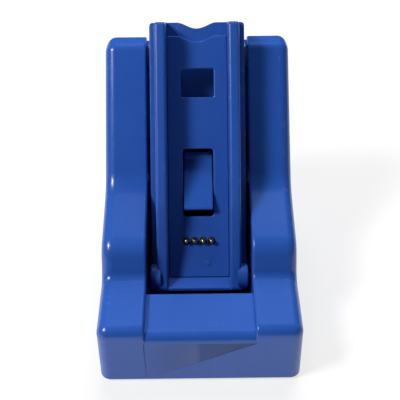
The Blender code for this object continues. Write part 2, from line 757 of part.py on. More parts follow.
def contacts(materials, frame):
    """Four sprung contacts in a block, and the small board behind them."""
    half_x, half_z = BLOCK_HALF
    shape = box((-half_x, FLANGE_FRONT, CONTACT_Z - half_z), (half_x, BLOCK_BACK, CONTACT_Z + half_z))
    block = make_object("contact_block", shape, materials["black"], frame)
    spring_length = BARREL_BACK - 0.8 * MM - CONTACT_TAIL - 2 * GAP
    for index, x in enumerate(contact_places()):
        number = str(index + 1)
        place = (x, 0, CONTACT_Z)
        hole(block, BARREL_RADIUS + GAP, 0, 20 * MM, ALONG, place)
        make_object("contact_barrel_" + number, barrel_shape(), materials["brass"], frame, place)
        make_object("contact_pin_" + number, contact_pin_shape(), materials["gold"], frame, place)
        coil = spring(0.45 * MM, 0.12 * MM, spring_length, 5, ALONG, 8, 4)
        spring_place = (x, CONTACT_TAIL + GAP, CONTACT_Z)
        make_object("contact_spring_" + number, coil, materials["steel"], frame, spring_place)
    half_x, half_z = CONTACT_BOARD_HALF
    front = BARREL_BACK + GAP
    board = box((-half_x, front, CONTACT_Z - half_z), (half_x, front + MM, CONTACT_Z + half_z))
    make_object("contact_board", board, materials["board"], frame)


def catch_outline():
    """Side outline of the catch about its own axis: a knuckle, a flat back and a ramp to the nose."""
    axis_y, axis_z = CATCH_AXIS
    back = CATCH_BACK_Y - axis_y
    nose_y = CATCH_NOSE[0] - axis_y
    low = CATCH_NOSE[1] - axis_z
    nose = fillet_outline([(back, low, 0.0), (nose_y, low, 0.7 * MM), (-CATCH_KNUCKLE, -0.4 * MM, 0.0)])
    outline = arc_points((0, 0), CATCH_KNUCKLE, 200, -20, 10)
    outline += [(CATCH_KNUCKLE, -2.2 * MM), (back, -4.4 * MM)]
    return outline + nose[:-1]


def catch(materials, frame, axis_frame):
    """The sprung catch: a ramp that stands proud of the contact plate, on a steel pin."""
    shape = prism(catch_outline(), -CATCH_HALF, CATCH_HALF)
    lever = make_object("catch_lever", shape, materials["shell"], axis_frame)
    cut(lever, cylinder(CATCH_PIN_RADIUS + GAP, -6 * MM, 6 * MM, ACROSS, SMALL_STEPS))
    pin_half = 7.2 * MM
    pin = cylinder(CATCH_PIN_RADIUS, -pin_half, pin_half, ACROSS, SMALL_STEPS)
    make_object("catch_pin", pin, materials["steel"], frame, (0, *CATCH_AXIS))
    front = CATCH_BACK_Y + GAP
    length = COVER_BACK_Y - COVER_WALL - GAP - front
    coil = spring(1.9 * MM, 0.25 * MM, length, 5, ALONG, 12, 5)
    make_object("catch_spring", coil, materials["steel"], frame, (0, front, CATCH_SPRING_Z))


def mechanism_cover(materials, frame):
    """The tray behind the flange that closes in the contacts and the catch, and its two screws."""
    low, high = COVER_Z
    front = FLANGE_BACK + GAP
    shape = box((-COVER_HALF, front, low), (COVER_HALF, COVER_BACK_Y, high))
    tray = make_object("mechanism_cover", shape, materials["black"], frame)
    inner_half = COVER_HALF - COVER_WALL
    inner_high = (inner_half, COVER_BACK_Y - COVER_WALL, high - COVER_WALL)
    cut(tray, box((-inner_half, 0, low + COVER_WALL), inner_high))
    notch_half = 3.5 * MM
    cut(tray, box((-notch_half, 11.8 * MM, 0), (notch_half, 20 * MM, low + 2.6 * MM)))
    head_height = 1.0 * MM
    for name, side in (("left", -1), ("right", 1)):
        place = (side * COVER_SCREW_X, 0, COVER_SCREW_Z)
        join(tray, placed(cylinder(1.9 * MM, front, COVER_BACK_Y - 0.5 * MM, ALONG), place))
        hole(tray, 1.1 * MM, 0, 20 * MM, ALONG, place)
        screw = screw_shape(1.7 * MM, head_height, 0.6 * MM, 12.6 * MM, (0, -1, 0))
        start = (place[0], COVER_BACK_Y + GAP + head_height, COVER_SCREW_Z)
        make_object("cover_screw_" + name, screw, materials["steel"], frame, start)


def pivot_pins(material, frame):
    """Two steel pins held in the housing's partitions, on which the channel's ears turn."""
    place = (0, *plane_point(PIVOT_UP, PIVOT_OUT))
    for side, name in ((-1, "left"), (1, "right")):
        low, high = sorted((side * PIVOT_INNER_X, side * PIVOT_OUTER_X))
        pin = cylinder(PIVOT_RADIUS, low, high, ACROSS, SMALL_STEPS)
        make_object("pivot_pin_" + name, pin, material, frame, place)


def inner_lead(material, frame):
    """The short lead that joins the contact board to the board on the base."""
    curve = bpy.data.curves.new("inner_lead", "CURVE")
    curve.dimensions = "3D"
    curve.bevel_depth = LEAD_RADIUS
    curve.bevel_resolution = 2
    curve.use_fill_caps = True
    line = curve.splines.new("POLY")
    line.points.add(len(LEAD_PATH) - 1)
    for point, (y, z) in zip(line.points, LEAD_PATH):
        point.co = (0, y, z, 1)
    lead = bpy.data.objects.new("inner_lead", curve)
    bpy.context.scene.collection.objects.link(lead)
    lead.parent = frame
    curve.materials.append(material)


def build():
    clear_scene()
    blue = (0.022, 0.085, 0.42)
    materials = {
        "shell": make_material("blue_gloss_plastic", blue, 0.28),
        "cradle": make_material("blue_channel_plastic", blue, 0.32),
        "black": make_material("black_plastic", (0.02, 0.02, 0.022), 0.5),
        "white": make_material("white_nylon", (0.75, 0.74, 0.7), 0.5),
        "rubber": make_material("pad_rubber", (0.03, 0.03, 0.032), 0.85),
        "steel": make_material("plain_steel", (0.55, 0.55, 0.56), 0.35, 1.0),
        "brass": make_material("barrel_brass", (0.72, 0.55, 0.25), 0.35, 1.0),
        "gold": make_material("contact_gold", (0.95, 0.72, 0.32), 0.22, 1.0),
        "board": make_material("green_board", (0.02, 0.16, 0.07), 0.45),
        "lead": make_material("lead_jacket", (0.05, 0.05, 0.055), 0.6),
    }
    housing = make_frame("housing_frame", None, (0, -DEPTH / 2, PAD_PROUD))
    pivot = make_frame("channel_frame", housing, (0, *plane_point(PIVOT_UP, PIVOT_OUT)), LEAN - math.pi / 2)
    catch_axis = make_frame("catch_frame", pivot, (0, *CATCH_AXIS))
    housing_shell(materials["shell"], housing)
    base_plate(materials["black"], housing)
    foot_pads(materials["rubber"], housing)
    base_screws(materials["steel"], housing)
    power_board(materials, housing)
    inner_lead(materials["lead"], housing)
    pivot_pins(materials["steel"], housing)
    return_spring(materials["steel"], housing)
    channel(materials["cradle"], pivot)
    contact_plate(materials["cradle"], pivot)
    contacts(materials, pivot)
    catch(materials, pivot, catch_axis)
    mechanism_cover(materials, pivot)


build()
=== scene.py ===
import json
import math

import bmesh
import bpy
from mathutils import Matrix, Vector


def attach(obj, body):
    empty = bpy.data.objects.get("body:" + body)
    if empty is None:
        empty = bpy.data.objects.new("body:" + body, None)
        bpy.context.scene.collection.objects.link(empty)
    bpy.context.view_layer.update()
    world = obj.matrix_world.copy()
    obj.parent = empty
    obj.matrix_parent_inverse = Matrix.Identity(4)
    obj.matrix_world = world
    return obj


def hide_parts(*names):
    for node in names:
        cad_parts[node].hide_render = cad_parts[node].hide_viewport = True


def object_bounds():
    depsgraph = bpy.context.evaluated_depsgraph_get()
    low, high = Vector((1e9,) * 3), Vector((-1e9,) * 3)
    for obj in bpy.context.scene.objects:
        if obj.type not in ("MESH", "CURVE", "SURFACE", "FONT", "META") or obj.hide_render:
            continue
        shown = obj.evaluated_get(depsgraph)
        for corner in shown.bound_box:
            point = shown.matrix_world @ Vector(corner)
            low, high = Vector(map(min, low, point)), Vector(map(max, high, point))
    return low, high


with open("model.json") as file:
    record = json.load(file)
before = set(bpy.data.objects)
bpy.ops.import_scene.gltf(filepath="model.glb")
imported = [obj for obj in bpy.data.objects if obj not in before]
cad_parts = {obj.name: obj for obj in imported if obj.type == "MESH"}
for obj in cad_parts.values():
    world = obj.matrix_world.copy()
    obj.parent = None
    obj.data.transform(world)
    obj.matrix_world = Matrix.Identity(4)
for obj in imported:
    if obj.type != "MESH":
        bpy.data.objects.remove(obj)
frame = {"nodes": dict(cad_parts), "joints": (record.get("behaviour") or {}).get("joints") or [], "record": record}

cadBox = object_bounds()
mm = 0.001

# where the channel and the catch turn, and which way the channel leans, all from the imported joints
joints = {joint["name"]: joint for joint in frame["joints"]}
channelPivot = Vector(joints["cradle_tilt"]["pos_m"])
channelBack = Vector(joints["contact_press_1"]["axis"])
channelUp = Vector((0, -channelBack.z, channelBack.y))
channelPlace = Matrix((
    (1, 0, 0, channelPivot.x),
    (0, channelBack.y, channelUp.y, channelPivot.y),
    (0, channelBack.z, channelUp.z, channelPivot.z),
    (0, 0, 0, 1),
))
housingPlace = Matrix.Translation((0, cadBox[0][1], 0.8 * mm))


# ---- modelling helpers

def letGo():
    if bpy.context.mode != "OBJECT":
        bpy.ops.object.mode_set(mode="OBJECT")
    bpy.ops.object.select_all(action="DESELECT")


def pickUp(piece):
    letGo()
    piece.select_set(True)
    bpy.context.view_layer.objects.active = piece


def openUp(piece):
    pickUp(piece)
    bpy.ops.object.mode_set(mode="EDIT")
    bpy.ops.mesh.select_mode(type="VERT")


def arcAround(centre, radius, start, end, steps):
    turn = [math.radians(start + (end - start) * step / steps) for step in range(steps + 1)]
    return [(centre[0] + radius * math.cos(a), centre[1] + radius * math.sin(a)) for a in turn]


# corners are (across, up, radius); each one is rounded by its own radius
def roundOff(corners, steps=10):
    outline = []
    for index, (across, up, radius) in enumerate(corners):
        corner = Vector((across, up))
        if radius <= 0:
            outline.append((across, up))
            continue
        before = (Vector(corners[index - 1][:2]) - corner).normalized()
        after = (Vector(corners[(index + 1) % len(corners)][:2]) - corner).normalized()
        half = before.angle(after) / 2
        centre = corner + (before + after).normalized() * radius / math.sin(half)
        start = corner + before * radius / math.tan(half) - centre
        end = corner + after * radius / math.tan(half) - centre
        first = math.degrees(math.atan2(start.y, start.x))
        turn = math.degrees(math.atan2(end.y, end.x)) - first
        turn = (turn + 180) % 360 - 180
        outline += arcAround(centre, radius, first, first + turn, steps)
    return outline


# a clockwise outline with every side moved in by its own amount
def moveIn(corners, amounts):
    moved = []
    for index, (across, up, radius) in enumerate(corners):
        corner = Vector((across, up))
        before = (corner - Vector(corners[index - 1][:2])).normalized()
        after = (Vector(corners[(index + 1) % len(corners)][:2]) - corner).normalized()
        sides = Matrix(((before.y, -before.x), (after.y, -after.x)))
        shift = sides.inverted() @ Vector((amounts[index - 1], amounts[index]))
        turnsIn = before.x * after.y - before.y * after.x < 0
        change = -amounts[index] if turnsIn else amounts[index]
        moved.append((across + shift.x, up + shift.y, max(radius + change, 0.0) if radius > 0 else 0.0))
    return moved


# a plane is shrunk to one corner, which is then drawn round the outline and filled
def drawFace(name, points):
    letGo()
    bpy.ops.mesh.primitive_plane_add(size=mm, location=(0, 0, 0))
    piece = bpy.context.object
    piece.name = name
    openUp(piece)
    bpy.ops.mesh.select_all(action="SELECT")
    bpy.ops.mesh.merge(type="CENTER")
    bpy.ops.transform.translate(value=points[0])
    for before, after in zip(points, points[1:]):
        step = Vector(after) - Vector(before)
        bpy.ops.mesh.extrude_region_move(TRANSFORM_OT_translate={"value": step})
    bpy.ops.mesh.select_all(action="SELECT")
    bpy.ops.mesh.edge_face_add()
    return piece


def drawOut(piece, way):
    bpy.ops.mesh.select_all(action="SELECT")
    bpy.ops.mesh.extrude_region_move(TRANSFORM_OT_translate={"value": way})
    bpy.ops.mesh.select_all(action="SELECT")
    bpy.ops.mesh.normals_make_consistent(inside=False)
    bpy.ops.object.mode_set(mode="OBJECT")
    return piece


# side view outline, drawn out across the width
def acrossWidth(name, outline, low, high):
    return drawOut(drawFace(name, [(low, y, z) for y, z in outline]), (high - low, 0, 0))


# front view outline, drawn out from front to back
def frontToBack(name, outline, front, back):
    return drawOut(drawFace(name, [(x, front, z) for x, z in outline]), (0, back - front, 0))


# plan outline, drawn upwards
def upwards(name, outline, low, high):
    return drawOut(drawFace(name, [(x, y, low) for x, y in outline]), (0, 0, high - low))


def rod(name, radius, start, end, axis, place=(0, 0, 0), sides=48):
    letGo()
    along = Vector(axis).normalized()
    middle = Vector(place) + along * (start + end) / 2
    turn = Vector((0, 0, 1)).rotation_difference(along).to_euler()
    bpy.ops.mesh.primitive_cylinder_add(vertices=sides, radius=radius, depth=abs(end - start),
                                        location=middle, rotation=turn)
    piece = bpy.context.object
    piece.name = name
    bpy.ops.object.transform_apply(location=True, rotation=True, scale=True)
    return piece


def block(name, low, high):
    corners = [(low[1], low[2]), (high[1], low[2]), (high[1], high[2]), (low[1], high[2])]
    return acrossWidth(name, corners, low[0], high[0])


def combine(piece, tool, operation):
    pickUp(piece)
    step = piece.modifiers.new(operation.lower(), "BOOLEAN")
    step.operation = operation
    step.solver = "EXACT"
    step.object = tool
    bpy.ops.object.modifier_apply(modifier=step.name)
    bpy.data.objects.remove(tool, do_unlink=True)
    return piece


def addOn(piece, tool):
    return combine(piece, tool, "UNION")


def cutOut(piece, tool):
    return combine(piece, tool, "DIFFERENCE")


# rounds every edge that the test picks by its two ends and the angle across it, and marks the new faces as edge faces
def roundEdges(piece, radius, steps, wanted, sharpest=25):
    openUp(piece)
    bpy.ops.mesh.select_mode(type="EDGE")
    bpy.ops.mesh.select_all(action="DESELECT")
    shape = bmesh.from_edit_mesh(piece.data)
    wear = shape.faces.layers.float.get("edgeWear") or shape.faces.layers.float.new("edgeWear")
    found = 0
    for edge in shape.edges:
        if len(edge.link_faces) == 2 and math.degrees(edge.calc_face_angle(0)) > sharpest:
            if wanted(edge.verts[0].co, edge.verts[1].co):
                edge.select_set(True)
                found += 1
    bmesh.update_edit_mesh(piece.data)
    if found:
        bpy.ops.mesh.bevel(offset=radius, segments=steps, profile=0.5, affect="EDGES",
                           clamp_overlap=False, miter_outer="SHARP")
        bpy.ops.mesh.select_mode(type="FACE")
        shape = bmesh.from_edit_mesh(piece.data)
        wear = shape.faces.layers.float.get("edgeWear")
        for face in shape.faces:
            if face.select:
                face[wear] = 1.0
        bmesh.update_edit_mesh(piece.data)
    bpy.ops.object.mode_set(mode="OBJECT")
    print("   rounded", found, "edges of", piece.name)
    return piece


def settle(piece, place, body, slot, *nodes, smooth=32):
    openUp(piece)
    bpy.ops.mesh.select_all(action="SELECT")
    bpy.ops.mesh.remove_doubles(threshold=0.002 * mm)
    bpy.ops.mesh.normals_make_consistent(inside=False)
    pickUp(piece)
    piece.matrix_world = place
    bpy.ops.object.transform_apply(location=True, rotation=True, scale=True)
    bpy.ops.object.shade_smooth_by_angle(angle=math.radians(smooth))
    even = piece.modifiers.new("evenNormals", "WEIGHTED_NORMAL")
    even.keep_sharp = True
    bpy.ops.object.modifier_apply(modifier=even.name)
    wearFinish(piece, slot)
    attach(piece, body)
    if nodes:
        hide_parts(*nodes)
    print("   ", piece.name, len(piece.data.polygons), "faces")
    return piece


# shader maths, written as ordinary sums on sockets
class Wire:
    def __init__(self, tree, socket):
        self.tree = tree
        self.socket = socket

    def sum(self, operation, *values):
        node = self.tree.nodes.new("ShaderNodeMath")
        node.operation = operation
        for place, value in enumerate(values):
            if isinstance(value, Wire):
                self.tree.links.new(value.socket, node.inputs[place])
            else:
                node.inputs[place].default_value = value
        return Wire(self.tree, node.outputs[0])

    def __add__(self, other):
        return self.sum("ADD", self, other)

    def __radd__(self, other):
        return self.sum("ADD", other, self)

    def __sub__(self, other):
        return self.sum("SUBTRACT", self, other)

    def __rsub__(self, other):
        return self.sum("SUBTRACT", other, self)

    def __mul__(self, other):
        return self.sum("MULTIPLY", self, other)

    def __rmul__(self, other):
        return self.sum("MULTIPLY", other, self)

    # 0 below low, 1 above high, and soft between
    def between(self, low, high):
        node = self.tree.nodes.new("ShaderNodeMapRange")
        node.interpolation_type = "SMOOTHSTEP"
        node.inputs["From Min"].default_value = low
        node.inputs["From Max"].default_value = high
        self.tree.links.new(self.socket, node.inputs["Value"])
        return Wire(self.tree, node.outputs["Result"])


class Finish:
    def __init__(self, name):
        self.material = bpy.data.materials.new(name)
        self.material.use_nodes = True
        self.tree = self.material.node_tree
        self.surface = self.tree.nodes["Principled BSDF"]
        self.place = self.node("ShaderNodeTexCoord", output="Object")

    def node(self, kind, settings=None, inputs=None, output=0):
        node = self.tree.nodes.new(kind)
        for key, value in (settings or {}).items():
            setattr(node, key, value)
        for key, value in (inputs or {}).items():
            if isinstance(value, Wire):
                self.tree.links.new(value.socket, node.inputs[key])
            else:
                node.inputs[key].default_value = value
        return Wire(self.tree, node.outputs[output])

    def noise(self, scale, detail=3.0, roughness=0.55, place=None):
        values = {"Vector": place or self.place, "Scale": scale, "Detail": detail, "Roughness": roughness}
        return self.node("ShaderNodeTexNoise", inputs=values, output="Fac")

    def stretched(self, scale, turn=(0, 0, 0)):
        return self.node("ShaderNodeMapping", inputs={"Vector": self.place, "Rotation": turn, "Scale": scale})

    # the colour sockets of a Mix node come after its number and vector sockets
    def mix(self, share, first, second):
        first, second = (c if isinstance(c, Wire) else (*c, 1) for c in (first, second))
        return self.node("ShaderNodeMix", {"data_type": "RGBA"}, {0: share, 6: first, 7: second}, 2)

    def feed(self, **values):
        for key, value in values.items():
            socket = self.surface.inputs[sockets[key]]
            if isinstance(value, Wire):
                self.tree.links.new(value.socket, socket)
            else:
                socket.default_value = value

    def bump(self, height, strength, distance, below=None):
        values = {"Strength": strength, "Distance": distance, "Height": height}
        if below:
            values["Normal"] = below
        return self.node("ShaderNodeBump", inputs=values, output="Normal")


sockets = {"colour": "Base Color", "roughness": "Roughness", "metallic": "Metallic", "coat": "Coat Weight",
           "coatRoughness": "Coat Roughness", "normal": "Normal", "ior": "IOR", "specular": "Specular IOR Level",
           "glow": "Emission Color", "glowStrength": "Emission Strength"}

# glossy moulded plastic: slow colour drift, gentle waves in the skin, fine grain, scuffs, hairlines, dust, paler edges
glossBlue = {
    "deep": (0.018, 0.080, 0.375), "bright": (0.026, 0.108, 0.475), "worn": (0.075, 0.19, 0.60),
    "scuff": (0.16, 0.28, 0.62), "roughness": 0.24, "drift": 45, "wave": 210, "waveHeight": 0.06 * mm,
    "grain": 3200, "grainHeight": 0.005 * mm, "scuffs": 0.35, "dust": 0.15,
}
satinBlue = dict(glossBlue, deep=(0.016, 0.072, 0.350), bright=(0.023, 0.098, 0.440), roughness=0.31,
                 waveHeight=0.03 * mm, grainHeight=0.007 * mm, scuffs=0.22, dust=0.12)


def mouldedPlastic(name, look):
    skin = Finish(name)
    drift = skin.noise(look["drift"], 2)
    patches = skin.noise(look["drift"] * 5, 4)
    colour = skin.mix(drift * 0.7 + patches * 0.3, look["deep"], look["bright"])
    edge = skin.node("ShaderNodeAttribute", {"attribute_name": "edgeWear"}, output="Fac")
    worn = edge * skin.noise(420, 5).between(0.50, 0.78) * 0.28
    colour = skin.mix(worn, colour, look["worn"])
    # short hairlines that run two ways
    along = skin.noise(1, 2, place=skin.stretched((2600, 60, 60), (0.3, 0.2, 0.9)))
    across = skin.noise(1, 2, place=skin.stretched((60, 2600, 60), (0.2, 0.5, 0.4)))
    hairlines = (along.between(0.69, 0.76) + across.between(0.70, 0.77)) * skin.noise(70, 2).between(0.5, 0.66)
    scuffs = skin.noise(900, 6, 0.7).between(0.60, 0.74) * skin.noise(95, 2).between(0.60, 0.70) * look["scuffs"]
    dust = skin.noise(5200, 1).between(0.80, 0.84) * skin.noise(160, 2).between(0.45, 0.6) * look["dust"]
    colour = skin.mix(hairlines * 0.03 + scuffs * 0.30 + dust * 0.25, colour, look["scuff"])
    rough = look["roughness"] + (patches - 0.5) * 0.10 + worn * 0.18 + scuffs * 0.30 + hairlines * 0.06 + dust * 0.2
    wave = skin.noise(look["wave"], 1.5, 0.4)
    shape = skin.bump(wave, 1.0, look["waveHeight"])
    grain = skin.noise(look["grain"], 3) - hairlines * 0.3 - scuffs * 0.5
    shape = skin.bump(grain, 1.0, look["grainHeight"], shape)
    skin.feed(colour=colour, roughness=rough, normal=shape, ior=1.5)
    return skin.material


# textured or plain small-part finishes share one recipe and differ in these numbers
plainFinishes = {
    "base": {"light": (0.034, 0.034, 0.037), "dark": (0.014, 0.014, 0.016), "roughness": 0.55, "metallic": 0,
             "patch": 120, "grain": 1900, "height": 0.03 * mm},
    "pads": {"light": (0.045, 0.045, 0.047), "dark": (0.018, 0.018, 0.020), "roughness": 0.86, "metallic": 0,
             "patch": 300, "grain": 1500, "height": 0.04 * mm},
    "steel": {"light": (0.62, 0.62, 0.63), "dark": (0.42, 0.42, 0.44), "roughness": 0.33, "metallic": 1,
              "patch": 500, "grain": 4200, "height": 0.008 * mm},
    "pins": {"light": (0.050, 0.050, 0.055), "dark": (0.020, 0.020, 0.022), "roughness": 0.42, "metallic": 1,
             "patch": 500, "grain": 4200, "height": 0.008 * mm},
    "board": {"light": (0.016, 0.20, 0.075), "dark": (0.008, 0.11, 0.045), "roughness": 0.38, "metallic": 0,
              "patch": 260, "grain": 2600, "height": 0.012 * mm},
    "chip": {"light": (0.030, 0.030, 0.032), "dark": (0.012, 0.012, 0.014), "roughness": 0.60, "metallic": 0,
             "patch": 700, "grain": 5200, "height": 0.010 * mm},
    "header": {"light": (0.80, 0.78, 0.72), "dark": (0.66, 0.64, 0.58), "roughness": 0.48, "metallic": 0,
               "patch": 240, "grain": 2400, "height": 0.012 * mm},
    "lead": {"light": (0.055, 0.055, 0.060), "dark": (0.025, 0.025, 0.028), "roughness": 0.55, "metallic": 0,
             "patch": 380, "grain": 2200, "height": 0.015 * mm},
    "barrels": {"light": (0.80, 0.60, 0.27), "dark": (0.52, 0.37, 0.15), "roughness": 0.34, "metallic": 1,
                "patch": 900, "grain": 5200, "height": 0.005 * mm},
    "contacts": {"light": (0.62, 0.52, 0.36), "dark": (0.42, 0.34, 0.22), "roughness": 0.28, "metallic": 1,
                 "patch": 1400, "grain": 7000, "height": 0.003 * mm},
}


def plainFinish(name, look):
    skin = Finish(name)
    patches = skin.noise(look["patch"], 4)
    fine = skin.noise(look["grain"], 3)
    marks = skin.noise(1, 2, place=skin.stretched((3000, 90, 90), (0.4, 0.1, 0.7))).between(0.68, 0.76)
    colour = skin.mix(patches * 0.75 + fine * 0.25, look["dark"], look["light"])
    rough = look["roughness"] + (patches - 0.5) * 0.16 + marks * 0.10
    skin.feed(colour=colour, roughness=rough, metallic=look["metallic"],
              normal=skin.bump(fine - marks * 0.5, 1.0, look["height"]))
    return skin.material


finishes = {"shell": mouldedPlastic("glossBluePlastic", glossBlue),
            "channel": mouldedPlastic("satinBluePlastic", satinBlue)}
for slot, look in plainFinishes.items():
    finishes[slot] = plainFinish(slot + "Finish", look)
print("finishes done")


def wearFinish(piece, slot):
    piece.data.materials.clear()
    piece.data.materials.append(finishes[slot])


for entry in frame["record"]["subparts"]:
    node = frame["nodes"][entry["node"]]
    # the pins that things turn on are blackened steel
    look = "pins" if "_pin" in entry["node"] and entry["material_slot"] == "steel" else entry["material_slot"]
    for slot in node.material_slots:
        slot.material = finishes[look]


# ---- housing: cheeks, centre deck, slot floor

housing = {
    "halfWidth": 29.0 * mm, "depth": 81.6 * mm, "wall": 2.2 * mm, "draft": math.radians(0.7),
    "outerEdge": 3.2 * mm, "innerEdge": 0.8 * mm, "lipHalf": 14.74 * mm, "lipStep": 1.05 * mm,
    "deck": 20.2 * mm, "deckEnd": 20.8 * mm, "deckFillet": 3.0 * mm,
    "slopeTop": (25.4 * mm, 28.5 * mm), "slopeTopRound": 8.0 * mm,
    "towerFoot": (46.9 * mm, 33.7 * mm), "towerFootRound": 12.0 * mm,
    "towerTop": (75.0 * mm, 65.9 * mm),
    "centreDeck": 18.1 * mm, "centreRound": 2.8 * mm, "slotHalf": 15.5 * mm, "slotFront": 16.6 * mm,
    "floorGap": 7.2 * mm, "floorThick": 2.0 * mm, "floorFoot": 36.0 * mm,
    "base": 3.0 * mm, "gap": 0.3 * mm,
    "bosses": [(x * 20.5 * mm, y * mm) for y in (21, 60) for x in (-1, 1)],
    "springUp": 42.0 * mm, "springSeat": 12.2 * mm,
}
lean = math.atan2(channelUp.z, channelUp.y)
planeFoot = housing["towerFoot"][0] - (housing["towerFoot"][1] - housing["centreDeck"]) / math.tan(lean)


def onPlane(up, out):
    y = planeFoot + up * math.cos(lean) - out * math.sin(lean)
    z = housing["centreDeck"] + up * math.sin(lean) + out * math.cos(lean)
    return y, z


def rearAt(z):
    return housing["depth"] - z * math.tan(housing["draft"])


def cheekCorners():
    slant = math.tan(housing["draft"])
    below = -6 * mm
    edge = housing["outerEdge"] + 0.15 * mm
    top = housing["towerTop"][1]
    return [
        (below * slant, below, 0), (housing["deck"] * slant, housing["deck"], edge),
        (housing["deckEnd"], housing["deck"], housing["deckFillet"]),
        (*housing["slopeTop"], housing["slopeTopRound"]), (*housing["towerFoot"], housing["towerFootRound"]),
        (*housing["towerTop"], edge), (rearAt(top), top, 0), (rearAt(below), below, 0),
    ]


def makeCheek(side):
    half, inner = housing["halfWidth"], housing["slotHalf"]
    cheek = acrossWidth("cheek", roundOff(cheekCorners(), 12), side * inner, side * half)
    openUp(cheek)
    bpy.ops.mesh.select_all(action="DESELECT")
    shape = bmesh.from_edit_mesh(cheek.data)
    for vert in shape.verts:
        vert.select_set(abs(vert.co.x) > half - mm / 10)
    shape.select_flush(True)
    bmesh.update_edit_mesh(cheek.data)
    # the outer side leans in as it rises
    bpy.ops.transform.rotate(value=side * housing["draft"], orient_axis="Y", center_override=(side * half, 0, 0))
    bpy.ops.object.mode_set(mode="OBJECT")
    outside = half - 2 * mm
    roundEdges(cheek, housing["outerEdge"], 9, lambda a, b: abs(a.x) > outside and abs(b.x) > outside)
    lowest, top = housing["centreDeck"] - 0.9 * mm, housing["towerTop"][1]

    def onInnerSide(a, b):
        beside = max(abs(a.x - side * inner), abs(b.x - side * inner)) < mm / 100
        return beside and min(a.z, b.z) > lowest and min(a.y, b.y) < rearAt(a.z) - mm

    # the rear top edge runs across and then down the rounded corner
    def onRearTop(a, b):
        return all(p.z > top - housing["outerEdge"] and abs(rearAt(top) - p.y - top + p.z) < mm / 10 for p in (a, b))

    roundEdges(cheek, housing["innerEdge"], 4, lambda a, b: onInnerSide(a, b) or onRearTop(a, b))
    amounts = [housing["wall"]] * 7 + [0]
    hollow = roundOff(moveIn(cheekCorners(), amounts), 4)
    low, high = sorted((side * (inner + housing["wall"]), side * (half - housing["wall"] - 0.8 * mm)))
    return cutOut(cheek, acrossWidth("hollow", hollow, low, high))


def makeCentreFront():
    slant = math.tan(housing["draft"])
    deck, back = housing["centreDeck"], housing["slotFront"]
    corners = [(-6 * mm * slant, -6 * mm, 0), (deck * slant, deck, housing["centreRound"]),
               (back, deck, 0.5 * mm), (back, -6 * mm, 0)]
    reach = housing["slotHalf"] + 0.6 * mm
    front = acrossWidth("centreFront", roundOff(corners, 10), -reach, reach)
    wall = housing["wall"]
    room = block("room", (-30 * mm, wall + housing["gap"], -8 * mm), (30 * mm, back - wall, deck - wall))
    return front, room


def makeSlotFloor():
    under = housing["floorGap"] + housing["floorThick"]
    rear = housing["depth"]
    top = onPlane((rearAt(61 * mm) - onPlane(0, -housing["floorGap"])[0]) / math.cos(lean), -housing["floorGap"])
    insideRear = rearAt(55 * mm) - housing["wall"]
    underTop = onPlane((insideRear - onPlane(0, -under)[0]) / math.cos(lean), -under)
    outline = [(rearAt(-6 * mm), -6 * mm), (rear - housing["wall"], -6 * mm), (rear - housing["wall"], 0), underTop,
               onPlane(housing["floorFoot"], -under), onPlane(housing["floorFoot"], -housing["floorGap"]),
               (top[0], top[1])]
    reach = housing["slotHalf"] + 0.6 * mm
    return acrossWidth("slotFloor", outline, -reach, reach)


